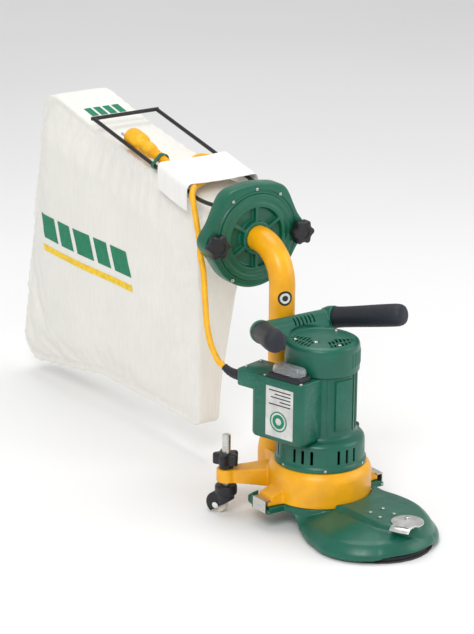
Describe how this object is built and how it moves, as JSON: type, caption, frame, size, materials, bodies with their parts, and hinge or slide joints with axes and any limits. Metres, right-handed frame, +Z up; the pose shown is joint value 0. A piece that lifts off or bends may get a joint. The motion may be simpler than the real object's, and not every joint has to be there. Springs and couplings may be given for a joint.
{
  "type": "floor edge sander",
  "caption": "Upright floor edge sander: belt-driven disc head, motor with two grips, casters, suction pipe and cloth dust bag on a wire frame.",
  "frame": {"origin": "centre of the abrasive disc's face, on the floor", "axes": "+Z up, the sanding head towards -Y and the dust bag towards +Y"},
  "size_m": [0.2936, 1.1193, 0.5638],
  "materials": {
    "green_paint": "gloss",
    "yellow_paint": "gloss",
    "yellow_cord": "satin",
    "bright_steel": "brushed",
    "chrome_bolt": "polished",
    "cast_aluminium": "cast",
    "copper_windings": "wound",
    "carbon": "matte",
    "abrasive_grit": "matte",
    "black_rubber": "matte",
    "black_plastic": "satin",
    "clear_cover": "clear",
    "white_wheel": "satin",
    "black_wire": "satin",
    "cotton": "woven"
  },
  "bodies": {
    "frame": {"base_frame": "yellow_paint", "arm_housing": "green_paint", "arm_lower_cover": "green_paint", "motor_housing": "green_paint", "motor_cap": "green_paint", "grip_left": "black_rubber", "grip_right": "black_rubber", "switch_box": "green_paint", "switch_lid": "green_paint", "switch_frame": "black_plastic", "switch_cover": "clear_cover", "cable_gland": "black_rubber", "power_cord": "yellow_cord", "stator": "bright_steel", "carbon_brush_left": "carbon", "carbon_brush_right": "carbon", "motor_bearing_lower": "bright_steel", "motor_bearing_upper": "bright_steel", "spindle_bearing_lower": "bright_steel", "spindle_bearing_upper": "bright_steel", "drive_belt": "black_rubber", "latch_pin_left": "bright_steel", "latch_pin_right": "bright_steel"},
    "rotor": {"motor_shaft": "bright_steel", "armature_core": "copper_windings", "commutator": "copper_windings", "cooling_fan": "black_plastic", "suction_fan": "bright_steel", "drive_pulley": "cast_aluminium"},
    "disc": {"abrasive_disc": "abrasive_grit", "backing_plate": "black_rubber", "spindle": "bright_steel", "driven_pulley": "cast_aluminium"},
    "rocker": {"rocker": "black_plastic"},
    "turn_plate": {"turn_plate": "bright_steel"},
    "pipe_group": {"suction_pipe": "yellow_paint", "pipe_flange": "green_paint", "clamp_frame": "green_paint", "flange_seal": "black_rubber", "bag_rod_left": "black_wire", "bag_rod_right": "black_wire", "bag_rod_rear": "black_wire", "dust_bag": "cotton", "bag_flap": "cotton", "plug": "yellow_cord"},
    "latch_left": {"latch_left": "bright_steel"},
    "caster_stem_left": {"caster_spindle_left": "bright_steel"},
    "caster_fork_left": {"caster_hood_left": "black_plastic", "caster_axle_left": "chrome_bolt"},
    "caster_wheel_left": {"caster_wheel_left": "white_wheel"},
    "caster_knob_left": {"caster_knob_left": "black_plastic"},
    "clamp_knob_left": {"clamp_knob_left": "black_plastic"},
    "latch_right": {"latch_right": "bright_steel"},
    "caster_stem_right": {"caster_spindle_right": "bright_steel"},
    "caster_fork_right": {"caster_hood_right": "black_plastic", "caster_axle_right": "chrome_bolt"},
    "caster_wheel_right": {"caster_wheel_right": "white_wheel"},
    "caster_knob_right": {"caster_knob_right": "black_plastic"},
    "clamp_knob_right": {"clamp_knob_right": "black_plastic"}
  },
  "joints": [
    {"name": "motor_spin", "type": "hinge", "parent": "frame", "child": "rotor", "pos_m": [-0.008, 0.145, 0.2], "axis": [0, 0, 1], "continuous": true},
    {"name": "disc_spin", "type": "hinge", "parent": "frame", "child": "disc", "pos_m": [0, 0, 0.02], "axis": [0, 0, 1], "continuous": true},
    {"name": "pipe_swivel", "type": "hinge", "parent": "frame", "child": "pipe_group", "pos_m": [-0.008, 0.258, 0.1], "axis": [0, 0, 1], "range_deg": [-20, 20], "deforming": ["power_cord"]},
    {"name": "rocker_tilt", "type": "hinge", "parent": "frame", "child": "rocker", "pos_m": [-0.08486, 0.12855, 0.257], "axis": [-0.9659, -0.2588, 0], "range_deg": [-8, 8]},
    {"name": "turn_plate_turn", "type": "hinge", "parent": "frame", "child": "turn_plate", "pos_m": [0.0235, -0.047, 0.0519], "axis": [0, 0, 1], "range_deg": [0, 90]},
    {"name": "latch_left_open", "type": "hinge", "parent": "frame", "child": "latch_left", "pos_m": [-0.123, 0.1475, 0.0345], "axis": [0, -1, 0], "range_deg": [0, 100]},
    {"name": "caster_left_height", "type": "slide", "parent": "frame", "child": "caster_stem_left", "axis": [0, 0, 1], "range_m": [-0.008, 0]},
    {"name": "caster_left_swivel", "type": "hinge", "parent": "caster_stem_left", "child": "caster_fork_left", "pos_m": [-0.132, 0.234, 0.045], "axis": [0, 0, 1], "continuous": true},
    {"name": "caster_left_roll", "type": "hinge", "parent": "caster_fork_left", "child": "caster_wheel_left", "pos_m": [-0.13746, 0.2458, 0.015], "axis": [0.9075, 0.42, 0], "continuous": true},
    {"name": "caster_left_knob_turn", "type": "hinge", "parent": "frame", "child": "caster_knob_left", "pos_m": [-0.132, 0.234, 0.0925], "axis": [0, 0, 1], "range_deg": [-180, 180]},
    {"name": "clamp_left_knob_turn", "type": "hinge", "parent": "pipe_group", "child": "clamp_knob_left", "pos_m": [-0.0925, 0.322, 0.425], "axis": [0, 1, 0], "range_deg": [-180, 180]},
    {"name": "latch_right_open", "type": "hinge", "parent": "frame", "child": "latch_right", "pos_m": [0.107, 0.1475, 0.0345], "axis": [0, 1, 0], "range_deg": [0, 100]},
    {"name": "caster_right_height", "type": "slide", "parent": "frame", "child": "caster_stem_right", "axis": [0, 0, 1], "range_m": [-0.008, 0]},
    {"name": "caster_right_swivel", "type": "hinge", "parent": "caster_stem_right", "child": "caster_fork_right", "pos_m": [0.116, 0.234, 0.045], "axis": [0, 0, 1], "continuous": true},
    {"name": "caster_right_roll", "type": "hinge", "parent": "caster_fork_right", "child": "caster_wheel_right", "pos_m": [0.12146, 0.2458, 0.015], "axis": [0.9075, -0.42, 0], "continuous": true},
    {"name": "caster_right_knob_turn", "type": "hinge", "parent": "frame", "child": "caster_knob_right", "pos_m": [0.116, 0.234, 0.0925], "axis": [0, 0, 1], "range_deg": [-180, 180]},
    {"name": "clamp_right_knob_turn", "type": "hinge", "parent": "pipe_group", "child": "clamp_knob_right", "pos_m": [0.0765, 0.322, 0.425], "axis": [0, 1, 0], "range_deg": [-180, 180]}
  ],
  "couplings": [
    {"joint": "disc_spin", "follows": "motor_spin", "ratio": 1}
  ]
}
